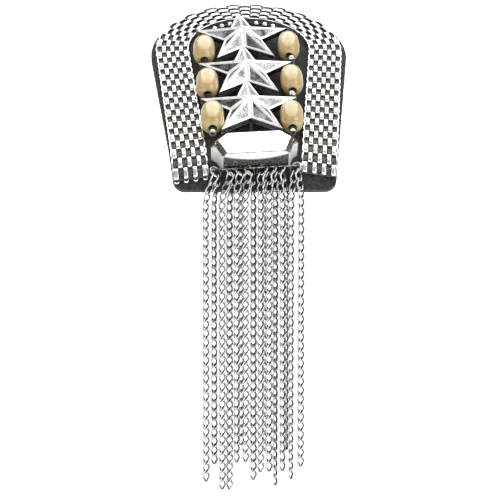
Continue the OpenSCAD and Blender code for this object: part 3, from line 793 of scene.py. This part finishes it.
bright_silver = Finish("bright silver", Metallic=1.0)
bright_silver.wear((0.78, 0.93), (0.2, 0.09), 2500)
for name in BRIGHT_BEADS:
    redress(name, bright_silver)
black_silver = Finish("black silver", Metallic=1.0)
black_silver.wear((0.02, 0.05), (0.5, 0.36), 2500)
for name in BLACK_BEADS:
    redress(name, black_silver)
up_slope = Vector((0, math.cos(PAD_SLOPE), math.sin(PAD_SLOPE)))
for name in CRIMPS:
    crimp_finish = Finish(name, Roughness=0.25)
    along_crimp = crimp_finish.node("VectorMath", {0: crimp_finish.place(), 1: up_slope},
        operation="DOT_PRODUCT").outputs["Value"]
    black_from = middle(name).dot(up_slope) - CRIMP_BLACK_BELOW
    black_share = crimp_finish.between(along_crimp, black_from, black_from + CRIMP_BLACK_FADE)
    crimp_finish.feed("Base Color", crimp_finish.blend(black_share, grey(0.88), grey(0.02)))
    crimp_finish.feed("Metallic", crimp_finish.between(black_share, 0, 1, 1, 0))
    redress(name, crimp_finish)

# Bar
# A heavy polished bar across the lower end, cast hollow, with slanted facets at its cut corners. It
# hides the wire that the fringe hangs from. Its front face is painted dark as a reflection, speckled
# with scratches, and painted near white along its upper edge as a highlight.
BAR_FRONT_W = 25 * MM
BAR_W = 33.2 * MM
BAR_DEPTH = 10.6 * MM
BAR_H = 10.3 * MM
BAR_WALL = 1 * MM
BAR_BEVEL = 1.6 * MM
BAR_TURN = math.radians(4)
BAR_DROP = 9.4 * MM
BAR_GAP = 0.1 * MM
BAR_POINT_BACK = 1.2 * MM
BAR_CORNER_IN = 2.1 * MM
BAR_CORNER_BACK = 0.6 * MM
BAR_BACK_IN = 0.4 * MM
BAR_MOUTH_H = 3.3 * MM
BAR_EDGE = 0.3 * MM
# The painted highlight band along the front's upper edge: how much deeper it is at its middle, how
# deep at its ends, over what height it fades, and how much of it the faces beside the front get
BAR_HIGHLIGHT_DEPTH = 2.4 * MM
BAR_HIGHLIGHT_END = 1.4 * MM
BAR_HIGHLIGHT_FADE = 1 * MM
BAR_HIGHLIGHT_SIDE = 0.75
# The bar's faces are told apart by their normals. Those of the front look forward by more than the
# first value. Those of the slanted facets rise within the range, and look forward, or sideways by more
# than the last value
FRONT_LOOKS = 0.3
FACET_RISES = (0.15, 0.97)
FACET_SIDEWAYS = 0.4
FACET_DARK = (0.1, 0.075, 0.05, 1)
FACET_LIGHT = (0.5, 0.46, 0.4, 1)
BAR_COLUMNS = 24
BAR_ROWS = 16
WIRE_HOLE_R = 0.6 * MM
WIRE_IN = 0.3 * MM
WIRE_H = 1.45 * MM


def on_bar(across, up, off):
    """The place of a point of the bar, given across it, up the slope and off the felt."""
    angle = BAR_DROP / ROLL_R
    turned = Matrix.Rotation(BAR_TURN, 3, "Z") @ Vector((across, up, off))
    lifted = Matrix.Rotation(angle, 3, "X") @ (turned + Vector((0, 0, ROLL_R + FELT_T)))
    return Matrix.Rotation(PAD_SLOPE, 3, "X") @ (lifted + Vector((0, -ROLL_START, -ROLL_R)))


half_depth = BAR_DEPTH / 2
right_side = ((BAR_FRONT_W / 2, -half_depth), (BAR_W / 2 - BAR_CORNER_IN, -BAR_CORNER_BACK),
    (BAR_W / 2, BAR_POINT_BACK), (BAR_FRONT_W / 2 - BAR_BACK_IN, half_depth))
left_side = [(-x, y) for x, y in reversed(right_side)]
bpy.ops.object.select_all(action="DESELECT")
bpy.ops.mesh.primitive_circle_add(vertices=8, radius=BAR_W / 2, fill_type="NGON")
bar = settle(bpy.context.object, "bar_cover")
for vertex, (x, y) in zip(bar.data.vertices, (*right_side, *left_side)):
    vertex.co = (x, y, BAR_GAP)
edit(bar, "FACE")
bpy.ops.mesh.select_all(action="SELECT")
bpy.ops.mesh.extrude_region_move(TRANSFORM_OT_translate={"value": (0, 0, BAR_H - BAR_GAP)})
done()
outward(bar)
edit(bar, "FACE")
for side in (-1, 1):
    for a, b in (right_side[0:2], right_side[2:4]):
        run = (Vector(b) - Vector(a)).normalized()
        slanted = Vector((run.y * side, -run.x, 1))
        cut((a[0] * side, a[1], BAR_H - BAR_BEVEL), slanted, clear_outer=True, use_fill=True)
pick(bar, lambda f: f.normal.z < -0.9, "faces")
bpy.ops.mesh.inset(thickness=BAR_WALL)
bpy.ops.mesh.extrude_region_move(TRANSFORM_OT_translate={"value": (0, 0, BAR_H - BAR_GAP - BAR_WALL)})
done()
outward(bar)
shape_with(bar, "BEVEL", width=BAR_EDGE, segments=3, limit_method="ANGLE", angle_limit=math.radians(20))
cutters = []
bpy.ops.mesh.primitive_cube_add(size=1, scale=(BAR_FRONT_W - 2 * BAR_WALL, 4 * BAR_WALL, 2 * BAR_MOUTH_H),
    location=(0, -half_depth, 0))
cutters.append(settle(bpy.context.object, "mouth"))
bpy.ops.mesh.primitive_cylinder_add(vertices=24, radius=WIRE_HOLE_R, depth=2 * BAR_W,
    location=(0, -half_depth + WIRE_IN, WIRE_H), rotation=(0, math.pi / 2, 0))
cutters.append(settle(bpy.context.object, "wire_hole"))
for cutter in cutters:
    shape_with(bar, "BOOLEAN", object=cutter, operation="DIFFERENCE", solver="EXACT")
    bpy.data.objects.remove(cutter)
edit(bar)
for k in range(1, BAR_COLUMNS):
    cut(((k / BAR_COLUMNS - 0.5) * BAR_FRONT_W, 0, 0), (1, 0, 0))
for k in range(1, BAR_ROWS):
    cut((0, 0, k / BAR_ROWS * BAR_H), (0, 0, 1))
done()
# Painted highlight: a share, near the front's upper edge and its sides, where the front turns near white
painted_highlight = bar.data.attributes.new("painted_highlight", "FLOAT", "POINT")
for vertex, share in zip(bar.data.vertices, painted_highlight.data):
    across = vertex.co.x / BAR_FRONT_W * 2
    band = BAR_HIGHLIGHT_DEPTH * (1 - across ** 2) + BAR_HIGHLIGHT_END
    on_side = abs(vertex.co.x) > BAR_FRONT_W / 2 - BAR_EDGE
    share.value = BAR_HIGHLIGHT_SIDE if on_side else (vertex.co.z - BAR_H + band) / BAR_HIGHLIGHT_FADE + 0.5
for face in bar.data.polygons:
    normal = face.normal
    is_front = abs(normal.z) < UPRIGHT and normal.y < -FRONT_LOOKS and face.center.y < BAR_POINT_BACK
    is_slanted = FACET_RISES[0] < normal.z < FACET_RISES[1]
    is_facet = is_slanted and (abs(normal.x) > FACET_SIDEWAYS or normal.y < 0)
    face.material_index = 1 if is_front else (2 if is_facet else 0)
lay(bar, on_bar)
smooth(bar, 40)
shape_with(bar, "WEIGHTED_NORMAL", keep_sharp=True)
bar_silver = Finish("bar silver", Metallic=1.0)
bar_silver.wear((0.86, 0.96), (0.15, 0.07), 1500, stretch=(0.15, 1, 1))
bar_front = Finish("bar front")
# Painted reflection: the front is dark, as the dark below it seen in polished silver, with specks of
# scratches
front_specks = bar_front.between(bar_front.grain(2400, 3, roughness=0.75), 0.45, 0.75)
front_dark_reflection = bar_front.blend(front_specks, grey(0.04), grey(0.6))
# Painted highlight: along the upper edge the front turns near white and almost unmetallic
highlight_share = bar_front.between(bar_front.attribute("painted_highlight"), 0, 1)
bar_front.feed("Base Color", bar_front.blend(highlight_share, front_dark_reflection, grey(0.95)))
bar_front.feed("Roughness", bar_front.between(highlight_share, 0, 1, 0.45, 0.3))
bar_front.feed("Metallic", bar_front.between(highlight_share, 0, 1, 1, 0.1))
bar_facet = Finish("bar facet", Metallic=1.0, Roughness=0.25)
facet_streaks = bar_facet.between(bar_facet.grain(900, 3, stretch=(1, 0.3, 1)), 0.4, 0.62)
bar_facet.feed("Base Color", bar_facet.blend(facet_streaks, FACET_DARK, FACET_LIGHT))
dress(bar, "bar", bar_silver, bar_front, bar_facet, stands_for=["bar"])

# Fringe
# Sixteen strands of silver curb chain, two on each jump ring, and the rings on a wire inside the
# bar. Every link is an oval of round wire, twisted by a quarter turn so that the chain lies flat.
LINK_W = 3.2 * MM
LINK_WIRE = 0.8 * MM
LINK_PITCH = 3.4 * MM
LINK_TWIST = math.radians(90)
# The inner side of each link's wire is painted dark, as the shade where the links hook into each other
LINK_INNER_SHADE = (0.07, 0.063, 0.058, 1)
# The rings, how far to each side a ring's two strands hang on it, and the length in which a strand
# leans from its ring to where it hangs
RING_R = 2.3 * MM
RING_WIRE = 0.7 * MM
RING_TURN = math.radians(33)
RING_SPREAD = math.radians(26)
LEAN_L = 11 * MM
# For each strand, how far it faces away from the viewer at its upper end and at its foot, in degrees
STRAND_FACING = ((25, 10), (50, 20), (-20, 15), (40, -25), (10, 35), (60, 30), (-15, 10), (45, 15),
    (20, -10), (65, 50), (0, 25), (40, 60), (15, 35), (50, 70), (30, 55), (35, 10))

link_l = LINK_PITCH + 2 * LINK_WIRE
bend_r = (LINK_W - LINK_WIRE) / 2
bpy.ops.object.select_all(action="DESELECT")
bpy.ops.mesh.primitive_torus_add(major_radius=bend_r, minor_radius=LINK_WIRE / 2, major_segments=16,
    minor_segments=6)
link = settle(bpy.context.object, "link")
inner_side = link.data.attributes.new("inner_side", "FLOAT", "POINT")
inner_side.data.foreach_set("value", [0.5 - (v.co.length - bend_r) / LINK_WIRE for v in link.data.vertices])
edit(link)
for side in (-1, 1):
    pick(link, lambda v: v.co.y * side > LINK_WIRE)
    bpy.ops.transform.translate(value=(0, side * (link_l / 2 - bend_r - LINK_WIRE / 2), 0))
done()
for vertex in link.data.vertices:
    turn = vertex.co.y / link_l * LINK_TWIST
    x, z = vertex.co.x, vertex.co.z
    vertex.co = (x * math.cos(turn) - z * math.sin(turn), x * math.sin(turn) + z * math.cos(turn),
        vertex.co.y)

chain_silver = Finish("chain silver", Metallic=1.0, Roughness=0.22, Specular_Tint=grey(0.3))
# Painted shade on the inner side of each link's wire
chain_inner_shade = chain_silver.between(chain_silver.attribute("inner_side"), 0.3, 0.7)
chain_silver.feed("Base Color", chain_silver.blend(chain_inner_shade, grey(0.6), LINK_INNER_SHADE))
ring_side = on_bar(1, 0, 0) - on_bar(0, 0, 0)
ring_up = on_bar(0, 1, 0) - on_bar(0, 0, 0)
ring_off = on_bar(0, 0, 1) - on_bar(0, 0, 0)
for k, (facing, foot_facing) in enumerate(STRAND_FACING):
    name = f"chain_{k + 1:02d}"
    ring = f"ring_{k // 2 + 1}"
    low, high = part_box(name)
    foot_points = [v.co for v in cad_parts[name].data.vertices if v.co.z < low.z + MM]
    foot = sum(foot_points, Vector()) / len(foot_points)
    ring_middle = middle(ring)
    outer = 1 if ring_middle.x > 0 else -1
    turned_side = ring_side * math.cos(RING_TURN) + ring_off * outer * math.sin(RING_TURN)
    spread = RING_SPREAD * (1 if k % 2 else -1)
    hold = ring_middle + (turned_side * math.sin(spread) - ring_up * math.cos(spread)) * RING_R
    first = hold.z + (RING_WIRE + LINK_WIRE) / 2 - (link_l - LINK_WIRE) / 2
    # The last link is the first one that reaches past the foot of the strand
    count = int((first - foot.z - link_l / 2) / LINK_PITCH) + 2
    strand = copied(link)
    repeat(strand, count, (0, 0, -LINK_PITCH))
    for vertex in strand.data.vertices:
        down = -vertex.co.z / (count * LINK_PITCH)
        turn = math.radians(facing + (foot_facing - facing) * down)
        lean = min(1.0, max(0.0, 1 + vertex.co.z / LEAN_L)) ** 2
        x = vertex.co.x * math.cos(turn) - vertex.co.y * math.sin(turn)
        y = vertex.co.x * math.sin(turn) + vertex.co.y * math.cos(turn)
        vertex.co = (x + foot.x + (hold.x - foot.x) * lean, y + foot.y + (hold.y - foot.y) * lean,
            vertex.co.z + first)
    settle(strand, name + "_links")
    smooth(strand, 80)
    dress(strand, "chain", chain_silver, stands_for=[name])
bpy.data.objects.remove(link)
for k in range(len(STRAND_FACING) // 2):
    redress(f"ring_{k + 1}", chain_silver)
redress("hanging_wire", bar_facet)

# Brooch pin
# A plain steel pin on a plate, fixed under the felt, which the shoulder's cloth is caught by.
pin_steel = Finish("pin steel", Metallic=1.0)
pin_steel.wear((0.48, 0.7), (0.42, 0.26), 2500, stretch=(0.1, 1, 1))
redress("brooch_pin", pin_steel)
